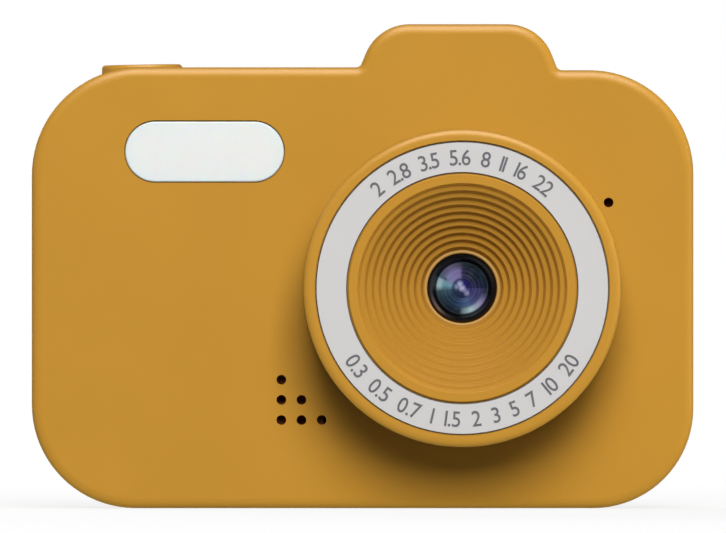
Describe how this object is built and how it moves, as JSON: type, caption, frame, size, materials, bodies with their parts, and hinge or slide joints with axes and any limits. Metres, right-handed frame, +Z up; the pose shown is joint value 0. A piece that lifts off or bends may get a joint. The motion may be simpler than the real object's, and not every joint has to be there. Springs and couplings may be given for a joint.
{
  "type": "kids digital camera",
  "caption": "Compact children's digital camera with a rounded shell, hump, wide stepped lens barrel, flash window, shutter button, rear screen and keys, and a covered side port.",
  "frame": {"origin": "middle of the flat base the camera stands on", "axes": "+Z up, the lens looks along -Y, +X to the right of a person facing the lens"},
  "size_m": [0.092, 0.0406, 0.0673],
  "materials": {
    "shell_mustard": "satin",
    "button_mustard": "satin",
    "trim_white": "satin",
    "diffuser_white": "gloss",
    "reflector_white": "gloss",
    "bezel_black": "gloss",
    "lens_glass": "gloss",
    "filter_glass": "gloss",
    "black_plastic": "matte",
    "plunger_plastic": "satin",
    "chip_black": "satin",
    "board_green": "satin",
    "flex_amber": "satin",
    "led_white": "satin",
    "battery_foil": "satin",
    "foam_tape": "matte",
    "wire_sheath": "satin",
    "speaker_film": "satin",
    "rubber_boot": "matte",
    "rubber_cover": "matte",
    "bright_steel": "satin",
    "screw_steel": "satin",
    "screen_window": "gloss",
    "screen_panel": "gloss"
  },
  "bodies": {
    "root": {"aperture_stop": "black_plastic", "barrel_screws": "screw_steel", "battery_cell": "battery_foil", "battery_leads": "wire_sheath", "battery_tape": "foam_tape", "board_components": "chip_black", "board_connectors": "black_plastic", "board_screws": "screw_steel", "card_socket": "bright_steel", "case_screws": "screw_steel", "flash_board": "board_green", "flash_leds": "led_white", "flash_reflector": "reflector_white", "flash_window": "diffuser_white", "front_lens": "lens_glass", "front_shell": "shell_mustard", "image_sensor": "chip_black", "ir_filter": "filter_glass", "key_switches": "black_plastic", "lanyard_pin": "bright_steel", "lcd_flex": "flex_amber", "lcd_gasket": "foam_tape", "lcd_panel": "screen_panel", "lcd_window": "screen_window", "lens_barrel": "shell_mustard", "lens_bezel": "bezel_black", "lens_cone": "shell_mustard", "lens_holder": "black_plastic", "lens_trim_ring": "trim_white", "main_board": "board_green", "mic_boot": "rubber_boot", "microphone": "bright_steel", "module_screws": "screw_steel", "rear_lens": "lens_glass", "rear_shell": "shell_mustard", "sensor_board": "board_green", "sensor_flex": "flex_amber", "shutter_switch": "black_plastic", "signal_leads": "wire_sheath", "speaker_cone": "speaker_film", "speaker_frame": "black_plastic", "usb_port": "bright_steel"},
    "shutter_button": {"shutter_button": "button_mustard"},
    "shutter_plunger": {"shutter_plunger": "plunger_plastic"},
    "port_cover": {"port_cover": "rubber_cover"},
    "memory_card": {"memory_card": "chip_black"},
    "up_key": {"up_key": "button_mustard", "up_plunger": "plunger_plastic"},
    "down_key": {"down_key": "button_mustard", "down_plunger": "plunger_plastic"},
    "left_key": {"left_key": "button_mustard", "left_plunger": "plunger_plastic"},
    "right_key": {"right_key": "button_mustard", "right_plunger": "plunger_plastic"},
    "ok_key": {"ok_key": "button_mustard", "ok_plunger": "plunger_plastic"},
    "power_key": {"power_key": "button_mustard", "power_plunger": "plunger_plastic"},
    "mode_key": {"mode_key": "button_mustard", "mode_plunger": "plunger_plastic"}
  },
  "joints": [
    {"name": "shutter_press", "type": "slide", "parent": "root", "child": "shutter_button", "axis": [0, 0, -1], "range_m": [0, 0.0004]},
    {"name": "shutter_switch_press", "type": "slide", "parent": "root", "child": "shutter_plunger", "axis": [0, 0, -1], "range_m": [0, 0.0004]},
    {"name": "up_press", "type": "slide", "parent": "root", "child": "up_key", "axis": [0, -1, 0], "range_m": [0, 0.00025]},
    {"name": "down_press", "type": "slide", "parent": "root", "child": "down_key", "axis": [0, -1, 0], "range_m": [0, 0.00025]},
    {"name": "left_press", "type": "slide", "parent": "root", "child": "left_key", "axis": [0, -1, 0], "range_m": [0, 0.00025]},
    {"name": "right_press", "type": "slide", "parent": "root", "child": "right_key", "axis": [0, -1, 0], "range_m": [0, 0.00025]},
    {"name": "ok_press", "type": "slide", "parent": "root", "child": "ok_key", "axis": [0, -1, 0], "range_m": [0, 0.00025]},
    {"name": "power_press", "type": "slide", "parent": "root", "child": "power_key", "axis": [0, -1, 0], "range_m": [0, 0.00025]},
    {"name": "mode_press", "type": "slide", "parent": "root", "child": "mode_key", "axis": [0, -1, 0], "range_m": [0, 0.00025]},
    {"name": "port_cover_hinge", "type": "hinge", "parent": "root", "child": "port_cover", "pos_m": [0.045, 0.0019, 0.0306], "axis": [0, 0, -1], "range_deg": [0, 90]},
    {"name": "memory_card_slide", "type": "slide", "parent": "root", "child": "memory_card", "axis": [1, 0, 0], "range_m": [-0.0005, 0.0031]}
  ],
  "couplings": [
    {"joint": "shutter_switch_press", "follows": "shutter_press", "ratio": 1}
  ]
}
